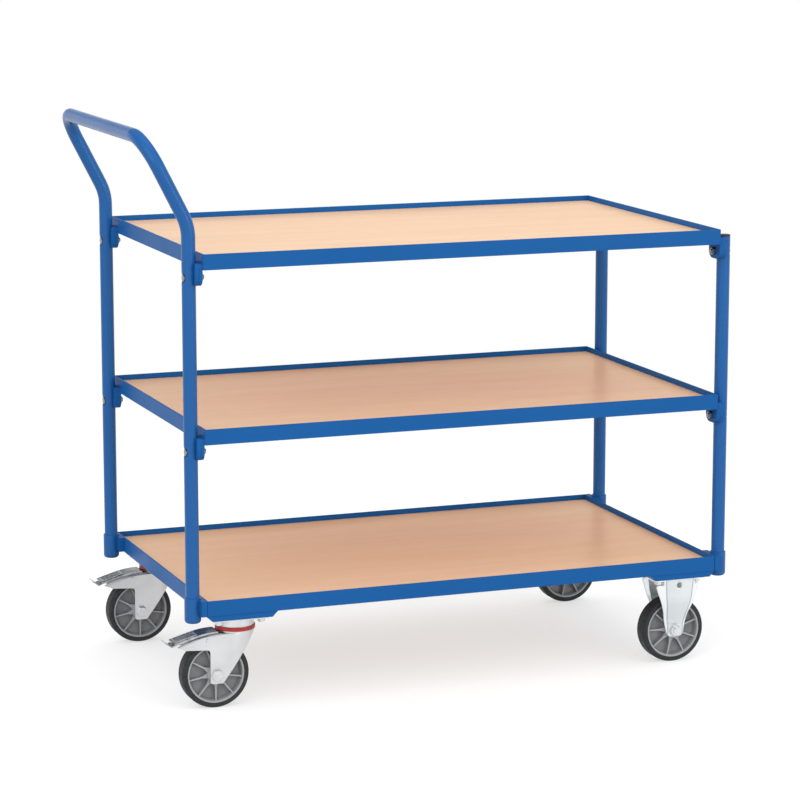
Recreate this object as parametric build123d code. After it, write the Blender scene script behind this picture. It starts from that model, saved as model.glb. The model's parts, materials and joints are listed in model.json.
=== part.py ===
"""Three-deck table trolley: angle-steel decks on bent tube, two braked swivel casters, two fixed casters.

X runs along the trolley with the push handle at -X, Y across it, Z up from the floor.
The right-hand side is -Y. Lengths are in millimetres and angles in degrees.
"""

import os
from math import atan, cos, degrees, radians, sin, sqrt, tan

from build123d import *

# Decks
DECK_LENGTH = 1000
DECK_WIDTH = 600
DECK_STEP = 310
RIM_ABOVE_BOARD = 10
BOARD_THICKNESS = 15
BOARD_GAP = 0.5
BOARD_CHAMFER = 0.5
ANGLE_THICKNESS = 3
ANGLE_FOOT = 28
ANGLE_CHAMFER = 0.6
FRAME_CORNER_CHAMFER = 1.5

# Tubes and push handle
TUBE_DIAMETER = 25
TUBE_WALL = 2
POST_INSET = 27
POST_BELOW_RIM = 16
HANDLE_HEIGHT = 1042.5
KNEE_ABOVE_RIM = 48
HANDLE_LEAN = 27
KNEE_BEND = 90
CORNER_BEND = 58
BEND_STRAIGHT = 10
CAP_FLANGE = 3
CAP_PLUG_GAP = 1
CAP_CHAMFER = 1

# Shelf tabs and their bolts
TAB_THICKNESS = 6
TAB_WIDTH = 46
TAB_BELOW_RIM = 17
TAB_HEIGHT = 40
TAB_TOE_ROUND = 15
TAB_TOP_ROUND = 5
TAB_BOLT_ABOVE_TOE = 14
DIMPLE_DEPTH = 4.7
DIMPLE_FLOOR = 8
DIMPLE_FLARE = 45
SHELF_BOLT_HEAD = 14
SHELF_BOLT_HEAD_HEIGHT = 3.3
SHELF_BOLT_CHAMFER = 0.8

# Corner sleeves of the lower deck
SLEEVE_DIAMETER = 30
SLEEVE_LENGTH = 46
SLEEVE_ABOVE_RIM = 3
SLEEVE_FLOOR = 6
SLEEVE_ROUND = 6
SADDLE_THICKNESS = 10

# Caster bearers under the lower deck
BEARER_LENGTH = 133
BEARER_DEPTH = 10.5
BEARER_SHEET = 3
BEARER_INSET = 1

# Casters
CASTER_HEIGHT = 168.5
SWIVEL_HEAD = 43.5
CASTER_FROM_END = 67.5
CASTER_FROM_SIDE = 52
PLATE_LENGTH = 105
PLATE_WIDTH = 85
PLATE_THICKNESS = 4
PLATE_ROUND = 8
BOLT_SPACING_LONG = 80
BOLT_SPACING_SHORT = 60

# Wheels
TYRE_WIDTH = 32
TYRE_THICKNESS = 9.5
TYRE_SHOULDER = 5.5
RIM_WIDTH = 31
RIM_LIP = 2.8
RIM_BARREL_TAPER = 3.7
WEB_THICKNESS = 6
HUB_DIAMETER = 32
HUB_DRAFT = 1
RIB_COUNT = 9
RIB_AT_HUB = 10
RIB_FLARE = 9
RIB_AFTER_FLARE = 3.4
RIB_AT_RIM = 2.4
RIB_SET_BACK = 2.5
FIXED_WHEEL_TURN = 12

# Forks and axles
FORK_SHEET = 3
FORK_INSIDE = 40
FORK_BEND = 5
HUB_PLAY = 0.5
AXLE_DIAMETER = 12
AXLE_SLEEVE_DIAMETER = 16
AXLE_HEAD_FLATS = 19
AXLE_HEAD_HEIGHT = 6.5
AXLE_NUT_HEIGHT = 6.5
AXLE_END = 2

# Swivel fork outline, measured from the swivel axis and the wheel axle
SWIVEL_TRAIL = 41
CROWN_THICKNESS = 4
CROWN_SEAT = 2.5
CROWN_SEAT_INSET = 1
CROWN_FRONT = 36
CROWN_REAR = 28
CROWN_FRONT_DEPTH = 4
CHEEK_CREASE = 16
CHEEK_FRONT_AT_AXLE = 23
CHEEK_REAR_AT_AXLE = 12.5
CHEEK_BELOW_AXLE = 16
CHEEK_END_ROUND = 5
NOTCH_DROP = 30
NOTCH_ROUND = 6
TAIL_BEHIND_AXLE = 74
TAIL_TIP_DROP = 20
TAIL_HEEL_BEHIND_AXLE = 57
TAIL_HEEL_DROP = 27
TAIL_SPARE = 10
TAIL_ROUND = 3

# Swivel head
BOWL_DIAMETER = 68
BOWL_DEPTH = 15
BOWL_SHEET = 4
KINGPIN_DIAMETER = 12
KINGPIN_HEAD = 24
KINGPIN_HEAD_HEIGHT = 5
KINGPIN_COLLAR = 26
KINGPIN_COLLAR_HEIGHT = 4
KINGPIN_END = 3
RACE_HEIGHT = 7.2
RACE_WIDTH = 12
SEAL_WALL = 2.5
SEAL_CHAMFER = 0.8

# Fixed fork, seen from the side: half widths of its cheeks at the axle, the waist and the plate
FIXED_END_HALF = 18
FIXED_WAIST_HALF = 26
FIXED_WAIST_ABOVE_AXLE = 36
FIXED_TOP_HALF = 45
FIXED_NECK_HALF = 31.5
FIXED_SHOULDER_DROP = 9.5
FIXED_SHOULDER_ROUND = 4
FIXED_END_BELOW_AXLE = 12
FIXED_END_ROUND = 11.5

# Fixed fork, seen from above: half width and reach of the flat band, and how far the flanks fold in
FIXED_SHEET = 2.5
FIXED_FOOT_ABOVE_AXLE = 11.5
FIXED_KNEE_ABOVE_AXLE = 68
FIXED_KNEE_HALF = 36.5
FIXED_STEPS = 5
FIXED_END_BAND = 15.5
FIXED_KNEE_BAND = 25.5
FIXED_TOP_BAND = 28
FIXED_KNEE_REACH = 39.5
FIXED_TOP_REACH = 41.5
FIXED_END_FOLD = 1
FIXED_KNEE_FOLD = 6.5
FIXED_TOP_FOLD = 8
FIXED_SPARE = 6
FIXED_HOLE = 10
FIXED_HOLE_DROP = 10
FIXED_DISH = 17
FIXED_DISH_DEPTH = 1.8

# Brake, measured from the wheel axle and the pedal's pin
BRAKE_TRAVEL = 12
BRAKE_SHEET = 2.5
BRAKE_SIDE_PLAY = 1
BRAKE_PIN_DIAMETER = 5
BRAKE_PIN_HEAD = 8
BRAKE_PIN_HEAD_HEIGHT = 2
BRAKE_PIN_BEHIND_AXLE = 16.3
BRAKE_PIN_ABOVE_TYRE = 1.8
PEDAL_FRONT = 20
PEDAL_FRONT_RISE = 14.7
PEDAL_BEND = -22
PEDAL_BEND_RISE = 9.3
PEDAL_TOE = -61.5
PEDAL_TOE_RISE = -1.7
PEDAL_FLANGE_DEPTH = 8
PEDAL_FLANGE_END = -56
PEDAL_LUG_HALF = 8
PEDAL_LUG_BELOW_PIN = 4
PEDAL_PAD_MIDDLE = -38
PEDAL_PAD_LENGTH = 42
PEDAL_PAD_WIDTH = 30
PEDAL_RIDGE_WIDTH = 2.5
PEDAL_RIDGE_HEIGHT = 1.6
PEDAL_RIBS = 3
TONGUE_ROOT = -48
TONGUE_BEND = -65
TONGUE_BEND_RISE = -7
TONGUE_TIP = -77
TONGUE_TIP_RISE = 1.5
TONGUE_HALF = 14
SHOE_FRONT = -12
SHOE_REAR = -28
SHOE_WIDTH = 22
SHOE_CLEARANCE = 0.8

# Bolts of the shelves and casters
BOLT_DIAMETER = 8
BOLT_FLATS = 13
BOLT_HEAD_HEIGHT = 5.3
BOLT_NUT_HEIGHT = 6.5
BOLT_END = 2
HEX_FACE = 0.95
HEX_CHAMFER = 30

# Fits
HOLE_PLAY = 0.25
SEAT_PLAY = 0.1
RUNNING_PLAY = 0.05
TURNING_GAP = 0.3

# Heights of the decks, worked out from the floor up
ANGLE_HEIGHT = RIM_ABOVE_BOARD + BOARD_THICKNESS + ANGLE_THICKNESS
LOWER_RIM = CASTER_HEIGHT + BEARER_DEPTH + ANGLE_HEIGHT
MIDDLE_RIM = LOWER_RIM + DECK_STEP
UPPER_RIM = MIDDLE_RIM + DECK_STEP
SHELF_BOLT_DROP = TAB_BELOW_RIM + TAB_HEIGHT - TAB_BOLT_ABOVE_TOE
SHELF_BOLT_HEIGHTS = [rim - SHELF_BOLT_DROP for rim in (MIDDLE_RIM, UPPER_RIM)]

# Places of the tubes and casters
TUBE_RADIUS = TUBE_DIAMETER / 2
TUBE_BORE = TUBE_RADIUS - TUBE_WALL
POST_X = DECK_LENGTH / 2 + TAB_THICKNESS + SEAT_PLAY + TUBE_RADIUS
POST_Y = DECK_WIDTH / 2 - POST_INSET
SLEEVE_BOTTOM = LOWER_RIM + SLEEVE_ABOVE_RIM - SLEEVE_LENGTH
TUBE_FOOT = SLEEVE_BOTTOM + SLEEVE_FLOOR
POST_TOP = UPPER_RIM - POST_BELOW_RIM
DIMPLE_REACH = DIMPLE_DEPTH + TUBE_WALL
DIMPLE_MOUTH = DIMPLE_FLOOR + DIMPLE_REACH * tan(radians(DIMPLE_FLARE))
CAP_PLUG = POST_TOP - SHELF_BOLT_HEIGHTS[-1] - DIMPLE_MOUTH - CAP_PLUG_GAP
KNEE_Z = UPPER_RIM + KNEE_ABOVE_RIM
BAR_Z = HANDLE_HEIGHT - TUBE_RADIUS
LEG_RUN = (BAR_Z - KNEE_Z) / cos(radians(HANDLE_LEAN))
CORNER_RADIUS = min(CORNER_BEND, LEG_RUN - KNEE_BEND * tan(radians(HANDLE_LEAN / 2)) - BEND_STRAIGHT)
BAR_X = POST_X + (BAR_Z - KNEE_Z) * tan(radians(HANDLE_LEAN))
CASTER_X = DECK_LENGTH / 2 - CASTER_FROM_END
CASTER_Y = DECK_WIDTH / 2 - CASTER_FROM_SIDE
SIDES = {"right": -1, "left": 1}

# Levels and radii of the casters
WHEEL_DIAMETER = CASTER_HEIGHT - SWIVEL_HEAD
RIM_DIAMETER = WHEEL_DIAMETER - 2 * TYRE_THICKNESS
AXLE_Z = WHEEL_DIAMETER / 2
PLATE_BOTTOM = CASTER_HEIGHT - PLATE_THICKNESS
BOWL_BOTTOM = PLATE_BOTTOM - BOWL_DEPTH
CROWN_TOP = BOWL_BOTTOM - RACE_HEIGHT - TURNING_GAP - CROWN_SEAT
CROWN_BOTTOM = CROWN_TOP - CROWN_THICKNESS
FORK_HALF = FORK_INSIDE / 2 + FORK_SHEET
HUB_LENGTH = FORK_INSIDE - 2 * HUB_PLAY
PIN_X = -SWIVEL_TRAIL - BRAKE_PIN_BEHIND_AXLE
TYRE_UNDER_PIN = AXLE_Z + sqrt(AXLE_Z**2 - BRAKE_PIN_BEHIND_AXLE**2)
PIN_Z = TYRE_UNDER_PIN + BRAKE_PIN_ABOVE_TYRE + BRAKE_PIN_DIAMETER / 2
PEDAL_HALF = FORK_INSIDE / 2 - BRAKE_SIDE_PLAY
TAIL_RUN = SWIVEL_TRAIL + TAIL_BEHIND_AXLE - CROWN_REAR
TAIL_RADIUS = (TAIL_RUN**2 + TAIL_TIP_DROP**2) / (2 * TAIL_TIP_DROP)
TREAD_SLOPE = (PEDAL_BEND_RISE - PEDAL_TOE_RISE) / (PEDAL_BEND - PEDAL_TOE)

# The origin lies under the middle of the trolley's overall length
ORIGIN_X = (POST_X + SLEEVE_DIAMETER / 2 - BAR_X - TUBE_RADIUS) / 2

FROM_BELOW = (Align.CENTER, Align.CENTER, Align.MIN)
FROM_ABOVE = (Align.CENTER, Align.CENTER, Align.MAX)


def upright(radius, bottom, top):
    """A round bar standing on the Z axis between two heights."""
    return Pos(0, 0, bottom) * Cylinder(radius, top - bottom, align=FROM_BELOW)


def across(radius, start, end):
    """A round bar lying on the Y axis between two places."""
    return Pos(0, start, 0) * Rot(-90, 0, 0) * Cylinder(radius, end - start, align=FROM_BELOW)


def hexagon(flats, height):
    """A six-sided head or nut that stands on Z = 0, with the corners of its outer face turned off."""
    corner = flats / sqrt(3)
    face = HEX_FACE * flats / 2
    fall = (corner - face) * tan(radians(HEX_CHAMFER))
    blank = turned((0, 0), (corner, 0), (corner, height - fall), (face, height), (0, height))
    return extrude(RegularPolygon(flats / 2, 6, major_radius=False), height) & blank


def turned(*profile):
    """A body of revolution about Z from its (radius, height) outline."""
    return revolve(Plane.XZ * make_face(Polyline(*profile, close=True)), axis=Axis.Z)


def side_face(*outline):
    """A face in the XZ plane from its (x, z) outline."""
    return Plane.XZ * make_face(Polyline(*outline, close=True))


def corners_near(face, *places):
    """The corners of a face in the XZ plane that lie at the given (x, z) places."""
    found = []
    for x, z in places:
        found.append(face.vertices().sort_by_distance((x, 0, z))[0])
    return found


def bolt_places(length, width):
    """The four corners of a bolt pattern."""
    return [Pos(x, y, 0) for x in (-length / 2, length / 2) for y in (-width / 2, width / 2)]


def deck_frame(rim):
    """Four mitred angle bars, welded at the corners, with their feet turned inwards."""
    outer = Rectangle(DECK_LENGTH, DECK_WIDTH)
    wall = outer - Rectangle(DECK_LENGTH - 2 * ANGLE_THICKNESS, DECK_WIDTH - 2 * ANGLE_THICKNESS)
    foot = outer - Rectangle(DECK_LENGTH - 2 * ANGLE_FOOT, DECK_WIDTH - 2 * ANGLE_FOOT)
    ring = extrude(wall, ANGLE_HEIGHT) + extrude(foot, ANGLE_THICKNESS)
    corners = ring.edges().filter_by(Axis.Z).sort_by_distance((0, 0, 0))[-4:]
    ring = chamfer(corners, FRAME_CORNER_CHAMFER)
    ring = chamfer(ring.faces().sort_by(Axis.Z)[-1].edges(), ANGLE_CHAMFER)
    half_x, half_y = DECK_LENGTH / 2, DECK_WIDTH / 2
    mitre = half_x - half_y
    long_side = Polyline((-half_x, -half_y), (half_x, -half_y), (mitre, 0), (-mitre, 0), close=True)
    short_side = Polyline((half_x, -half_y), (half_x, half_y), (mitre, 0), close=True)
    bars = []
    for sector in (long_side, short_side):
        for turn in (0, 180):
            bars.append(ring & Rot(0, 0, turn) * extrude(make_face(sector), ANGLE_HEIGHT))
    return [Pos(0, 0, rim - ANGLE_HEIGHT) * bar for bar in bars]


def deck_board(rim):
    """A board that lies on the feet of its frame."""
    gap = 2 * (ANGLE_THICKNESS + BOARD_GAP)
    board = Box(DECK_LENGTH - gap, DECK_WIDTH - gap, BOARD_THICKNESS, align=FROM_ABOVE)
    board = chamfer(board.faces().sort_by(Axis.Z)[-1].edges(), BOARD_CHAMFER)
    return Pos(0, 0, rim - RIM_ABOVE_BOARD) * board


def shelf_tab():
    """A rounded plate in the YZ plane with its bolt hole at the origin and its outer face on X = 0."""
    middle = TAB_HEIGHT / 2 - TAB_BOLT_ABOVE_TOE
    plate = Pos(0, middle) * Rectangle(TAB_WIDTH, TAB_HEIGHT)
    plate = fillet(plate.vertices().group_by(Axis.Y)[0], TAB_TOE_ROUND)
    plate = fillet(plate.vertices().group_by(Axis.Y)[-1], TAB_TOP_ROUND)
    plate -= Circle(BOLT_DIAMETER / 2 + HOLE_PLAY)
    return extrude(Plane.YZ * plate, -TAB_THICKNESS)


def tube_places(height):
    """The four tube centre lines at one height, each turned so that +X points outwards."""
    return [
        Pos(end * POST_X, side * POST_Y, height) * Rot(0, 0, 0 if end > 0 else 180)
        for end in (-1, 1)
        for side in SIDES.values()
    ]


def shelf_tabs(height):
    """The four tabs of one deck, each between a tube and the end of the frame."""
    reach = TUBE_RADIUS + SEAT_PLAY
    return [place * Pos(-reach, 0, 0) * shelf_tab() for place in tube_places(height)]


def shelf_bolt():
    """A low round-headed bolt along X, its head on the floor of the dimple."""
    floor = TUBE_RADIUS - DIMPLE_DEPTH
    end = TUBE_RADIUS + SEAT_PLAY + TAB_THICKNESS + BOLT_NUT_HEIGHT + BOLT_END
    head = chamfer(
        Cylinder(SHELF_BOLT_HEAD / 2, SHELF_BOLT_HEAD_HEIGHT, align=FROM_BELOW).edges().group_by(Axis.Z)[-1],
        SHELF_BOLT_CHAMFER,
    )
    shank = Cylinder(BOLT_DIAMETER / 2, floor + end, align=FROM_ABOVE)
    return Pos(floor, 0, 0) * Rot(0, 90, 0) * (head + shank)


def shelf_nut():
    """The nut of a shelf bolt, against the inner face of its tab."""
    nut = hexagon(BOLT_FLATS, BOLT_NUT_HEIGHT) - Cylinder(BOLT_DIAMETER / 2, 4 * BOLT_NUT_HEIGHT)
    inner_face = TUBE_RADIUS + SEAT_PLAY + TAB_THICKNESS
    return Pos(-inner_face, 0, 0) * Rot(0, -90, 0) * nut


def at_every_tab(piece):
    """One copy of a piece at each tab of the two upper decks."""
    return [place * piece for height in SHELF_BOLT_HEIGHTS for place in tube_places(height)]


def dimple():
    """What a dimple adds to a tube's bore and what it cuts from its outer side, about its bolt's axis."""
    floor = TUBE_RADIUS - DIMPLE_DEPTH
    block = Pos(floor - TUBE_WALL, 0, 0) * Box(
        TUBE_RADIUS, TUBE_DIAMETER, 2 * DIMPLE_MOUTH, align=(Align.MIN, Align.CENTER, Align.CENTER)
    )
    bulge = block & Cylinder(TUBE_BORE, 2 * DIMPLE_MOUTH)
    cone = Cone(DIMPLE_FLOOR, DIMPLE_MOUTH, DIMPLE_REACH, align=FROM_BELOW)
    hole = Cylinder(BOLT_DIAMETER / 2 + HOLE_PLAY, 2 * TUBE_DIAMETER)
    return bulge, Pos(floor, 0, 0) * Rot(0, 90, 0) * (cone + hole)


def dimpled(tube, end, side):
    """A tube pressed in on its outer side, so that each shelf bolt's head lies below its surface."""
    bulge, cut = dimple()
    for height in SHELF_BOLT_HEIGHTS:
        place = Pos(end * POST_X, side * POST_Y, height) * Rot(0, 0, 0 if end > 0 else 180)
        tube += place * bulge
        tube -= place * cut
    return tube


def rod_along(path, radius):
    """A round rod that follows a path of straight runs and arcs."""
    rod = Part()
    for edge in path.edges():
        section = Plane(origin=edge @ 0, z_dir=edge % 0) * Circle(radius)
        if edge.geom_type == GeomType.LINE:
            rod += extrude(section, edge.length)
        else:
            bend = Axis(edge.arc_center, (edge % 0).cross(edge % 1))
            rod += revolve(section, bend, degrees(edge.length / edge.radius))
    return rod


def push_handle():
    """One bent tube: up from a sleeve, out over the end, across and down to the other sleeve."""
    points = [(-POST_X, -POST_Y, TUBE_FOOT), (-POST_X, -POST_Y, KNEE_Z), (-BAR_X, -POST_Y, BAR_Z)]
    points += [(x, -y, z) for x, y, z in reversed(points)]
    path = FilletPolyline(*points, radius=[KNEE_BEND, CORNER_RADIUS, CORNER_RADIUS, KNEE_BEND])
    tube = rod_along(path, TUBE_RADIUS) - rod_along(path, TUBE_BORE)
    for side in SIDES.values():
        tube = dimpled(tube, -1, side)
    return tube


def post(side):
    """A straight tube at the far end, open at the top for its cap."""
    tube = upright(TUBE_RADIUS, TUBE_FOOT, POST_TOP) - upright(TUBE_BORE, TUBE_FOOT, POST_TOP)
    return dimpled(Pos(POST_X, side * POST_Y, 0) * tube, 1, side)


def post_cap(side):
    """A plastic plug with a flange that covers the end of a post."""
    flange = upright(TUBE_RADIUS, POST_TOP, POST_TOP + CAP_FLANGE)
    flange = chamfer(flange.edges().group_by(Axis.Z)[-1], CAP_CHAMFER)
    plug = upright(TUBE_BORE - SEAT_PLAY, POST_TOP - CAP_PLUG, POST_TOP)
    plug -= upright(TUBE_BORE - TUBE_WALL, POST_TOP - CAP_PLUG, POST_TOP - CAP_FLANGE)
    return Pos(POST_X, side * POST_Y, 0) * (flange + plug)


def corner_sleeve():
    """A closed socket that a tube stands in."""
    body = upright(SLEEVE_DIAMETER / 2, SLEEVE_BOTTOM, SLEEVE_BOTTOM + SLEEVE_LENGTH)
    body = fillet(body.edges().group_by(Axis.Z)[0], SLEEVE_ROUND)
    return body - upright(TUBE_RADIUS + SEAT_PLAY, TUBE_FOOT, SLEEVE_BOTTOM + SLEEVE_LENGTH)


def sleeve_saddle():
    """A weld plate between a sleeve and the frame's end, hollowed to seat the sleeve."""
    start = POST_X - DECK_LENGTH / 2
    plate = Pos(-start, 0, LOWER_RIM - ANGLE_HEIGHT) * Box(
        SADDLE_THICKNESS, 2 * POST_INSET, ANGLE_HEIGHT, align=(Align.MIN, Align.CENTER, Align.MIN)
    )
    return plate - upright(SLEEVE_DIAMETER / 2 + SEAT_PLAY, SLEEVE_BOTTOM, LOWER_RIM + SLEEVE_ABOVE_RIM)


def caster_bearer(end):
    """A pressed tray across one end of the lower deck, with closed ends and sloping sides."""
    top = CASTER_HEIGHT + BEARER_DEPTH
    half = BEARER_LENGTH / 2
    wall = BEARER_SHEET * sqrt(2)
    outer = side_face((-half, top), (-half + BEARER_DEPTH, CASTER_HEIGHT),
                      (half - BEARER_DEPTH, CASTER_HEIGHT), (half, top))
    floor = CASTER_HEIGHT + BEARER_SHEET
    rise = top - floor
    inner = side_face((-half + wall, top), (-half + wall + rise, floor),
                      (half - wall - rise, floor), (half - wall, top))
    reach = DECK_WIDTH / 2 - BEARER_INSET
    tray = extrude(outer, reach, both=True) - extrude(inner, reach - BEARER_SHEET, both=True)
    tray = Pos(end * (DECK_LENGTH / 2 - half), 0, 0) * tray
    hole = upright(BOLT_DIAMETER / 2 + HOLE_PLAY, CASTER_HEIGHT - BEARER_SHEET, top)
    for side in SIDES.values():
        for spot in bolt_places(BOLT_SPACING_LONG, BOLT_SPACING_SHORT):
            tray -= Pos(end * CASTER_X, side * CASTER_Y, 0) * spot * hole
    return tray


def top_plate():
    """A caster's mounting plate, with its four bolt holes."""
    plate = RectangleRounded(PLATE_LENGTH, PLATE_WIDTH, PLATE_ROUND)
    for spot in bolt_places(BOLT_SPACING_LONG, BOLT_SPACING_SHORT):
        plate -= spot * Circle(BOLT_DIAMETER / 2 + HOLE_PLAY)
    return Pos(0, 0, PLATE_BOTTOM) * extrude(plate, PLATE_THICKNESS)


def swivel_plate():
    """A mounting plate pressed down into a bowl, which carries the upper ball race."""
    bowl = upright(BOWL_DIAMETER / 2, BOWL_BOTTOM, PLATE_BOTTOM)
    recess = upright(BOWL_DIAMETER / 2 - BOWL_SHEET, BOWL_BOTTOM + BOWL_SHEET, CASTER_HEIGHT)
    pin = upright(KINGPIN_DIAMETER / 2 + SEAT_PLAY, BOWL_BOTTOM, CASTER_HEIGHT)
    return top_plate() + bowl - recess - pin


def kingpin():
    """The pin that carries the fork, riveted over a collar below its crown."""
    seat = BOWL_BOTTOM + BOWL_SHEET
    head = upright(KINGPIN_HEAD / 2, seat, seat + KINGPIN_HEAD_HEIGHT)
    collar_top = CROWN_BOTTOM - TURNING_GAP
    collar_bottom = collar_top - KINGPIN_COLLAR_HEIGHT
    collar = upright(KINGPIN_COLLAR / 2, collar_bottom, collar_top)
    return head + collar + upright(KINGPIN_DIAMETER / 2, collar_bottom - KINGPIN_END, seat)


def ball_race():
    """The ring of the upper ball race, below the plate's bowl and just clear of the crown."""
    outer = BOWL_DIAMETER / 2 - SEAT_PLAY
    ring = upright(outer, BOWL_BOTTOM - RACE_HEIGHT, BOWL_BOTTOM)
    return ring - upright(outer - RACE_WIDTH, BOWL_BOTTOM - RACE_HEIGHT, BOWL_BOTTOM)


def seal_ring():
    """The dust seal around the ball race, between the bowl and the crown."""
    inner = BOWL_DIAMETER / 2
    outer = inner + SEAL_WALL
    bottom, top = BOWL_BOTTOM - RACE_HEIGHT, BOWL_BOTTOM
    return turned((inner, bottom), (outer - SEAL_CHAMFER, bottom), (outer, bottom + SEAL_CHAMFER),
                  (outer, top - SEAL_CHAMFER), (outer - SEAL_CHAMFER, top), (inner, top))


def fork_plan(inset):
    """The swivel fork seen from above: straight cheeks that curve together into a nose at +X."""
    half = FORK_HALF - inset
    full_bend = ((CROWN_FRONT + CHEEK_CREASE) ** 2 + FORK_HALF**2) / (2 * FORK_HALF)
    bend = full_bend - inset
    depth = full_bend - FORK_HALF
    tip = sqrt(bend**2 - depth**2) - CHEEK_CREASE
    middle = (tip - CHEEK_CREASE) / 2
    bulge = sqrt(bend**2 - (middle + CHEEK_CREASE) ** 2) - depth
    tail = -CROWN_REAR - TAIL_RUN - TAIL_SPARE
    return make_face([
        Line((tail, half), (-CHEEK_CREASE, half)),
        ThreePointArc((-CHEEK_CREASE, half), (middle, bulge), (tip, 0)),
        ThreePointArc((tip, 0), (middle, -bulge), (-CHEEK_CREASE, -half)),
        Line((-CHEEK_CREASE, -half), (tail, -half)),
        Line((tail, -half), (tail, half)),
    ])


def fork_top():
    """The space under the flat crown and the arc that the tail's upper edge falls in, seen from the side."""
    run = TAIL_RUN + TAIL_SPARE
    tip = (-CROWN_REAR - TAIL_RUN, CROWN_TOP - TAIL_TIP_DROP)
    end = (-CROWN_REAR - run, CROWN_TOP - TAIL_RADIUS + sqrt(TAIL_RADIUS**2 - run**2))
    front = CROWN_FRONT + TAIL_SPARE
    return Plane.XZ * make_face([
        Line((front, CROWN_TOP), (-CROWN_REAR, CROWN_TOP)),
        ThreePointArc((-CROWN_REAR, CROWN_TOP), tip, end),
        Polyline(end, (end[0], 0), (front, 0), (front, CROWN_TOP)),
    ])


def fork_side():
    """The swivel fork seen from the side, below its upper edge: slanting cheek and the tail behind it."""
    axle_x = -SWIVEL_TRAIL
    front_top = CROWN_TOP - CROWN_FRONT_DEPTH
    lean = (CROWN_FRONT - axle_x - CHEEK_FRONT_AT_AXLE) / (front_top - AXLE_Z)
    end_z = AXLE_Z - CHEEK_BELOW_AXLE
    end_rear = (axle_x - CHEEK_REAR_AT_AXLE, end_z)
    end_front = (axle_x + CHEEK_FRONT_AT_AXLE - CHEEK_BELOW_AXLE * lean, end_z)
    notch = (axle_x - CHEEK_REAR_AT_AXLE, CROWN_TOP - NOTCH_DROP)
    tip = (axle_x - TAIL_BEHIND_AXLE, CROWN_TOP - TAIL_TIP_DROP)
    heel = (axle_x - TAIL_HEEL_BEHIND_AXLE, CROWN_TOP - TAIL_HEEL_DROP)
    face = side_face(end_rear, end_front, (CROWN_FRONT, front_top), (CROWN_FRONT, CROWN_TOP),
                     (tip[0], CROWN_TOP), tip, heel, notch)
    face = fillet(corners_near(face, end_rear, end_front), CHEEK_END_ROUND)
    face = fillet(corners_near(face, notch), NOTCH_ROUND)
    return fillet(corners_near(face, tip, heel), TAIL_ROUND)


def swivel_fork():
    """A crown with bent-over edges and a round seat, and two cheeks that run back into a tail."""
    block = extrude(fork_plan(0), CROWN_TOP) & extrude(fork_top(), FORK_INSIDE, both=True)
    crown = block.faces().sort_by(Axis.Z)[-1]
    tail = block.faces().filter_by(GeomType.CYLINDER).sort_by(Axis.X)[0]
    bends = [edge for edge in crown.edges() + tail.edges() if edge not in block.edges().filter_by(Axis.Y)]
    shell = fillet(bends, FORK_BEND) & extrude(fork_side(), FORK_INSIDE, both=True)
    shell -= extrude(fork_plan(FORK_SHEET), CROWN_BOTTOM)
    shell -= Pos(-CROWN_REAR, 0, CROWN_BOTTOM) * Box(
        2 * TAIL_BEHIND_AXLE, FORK_INSIDE, CROWN_THICKNESS, align=(Align.MAX, Align.CENTER, Align.MIN)
    )
    shell += upright(BOWL_DIAMETER / 2 - CROWN_SEAT_INSET, CROWN_TOP, CROWN_TOP + CROWN_SEAT)
    shell -= upright(KINGPIN_DIAMETER / 2 + RUNNING_PLAY, CROWN_BOTTOM, CROWN_TOP + CROWN_SEAT)
    shell -= Pos(-SWIVEL_TRAIL, 0, AXLE_Z) * across(AXLE_DIAMETER / 2 + SEAT_PLAY, -FORK_INSIDE, FORK_INSIDE)
    shell -= Pos(PIN_X, 0, PIN_Z) * across(BRAKE_PIN_DIAMETER / 2 + SEAT_PLAY, -FORK_INSIDE, FORK_INSIDE)
    return shell


def fixed_body(inset):
    """The space within the fixed fork's cheeks: upright at the axle, then a soft bend out to the plate."""
    levels = [(0, FIXED_END_BAND, FORK_HALF, FIXED_END_FOLD, FIXED_END_HALF)]
    for step in range(FIXED_STEPS + 1):
        share = step / FIXED_STEPS
        bend = share**2 * (3 - 2 * share)
        levels.append((
            AXLE_Z + FIXED_FOOT_ABOVE_AXLE + share * (FIXED_KNEE_ABOVE_AXLE - FIXED_FOOT_ABOVE_AXLE),
            FIXED_END_BAND + share * (FIXED_KNEE_BAND - FIXED_END_BAND),
            FORK_HALF + bend * (FIXED_KNEE_REACH - FORK_HALF),
            FIXED_END_FOLD + share * (FIXED_KNEE_FOLD - FIXED_END_FOLD),
            FIXED_END_HALF + share * (FIXED_KNEE_HALF - FIXED_END_HALF),
        ))
    levels.append((PLATE_BOTTOM, FIXED_TOP_BAND, FIXED_TOP_REACH, FIXED_TOP_FOLD, FIXED_TOP_HALF))
    sections = []
    for height, band, reach, fold, half in levels:
        flank = fold * (half + FIXED_SPARE - band) / (half - band)
        side = [(half + FIXED_SPARE, reach - flank - inset), (band, reach - inset)]
        side += [(-x, y) for x, y in reversed(side)]
        outline = Polyline(*side, *[(x, -y) for x, y in reversed(side)], close=True)
        sections.append(Pos(0, 0, height) * make_face(outline))
    return loft(sections, ruled=True)


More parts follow.
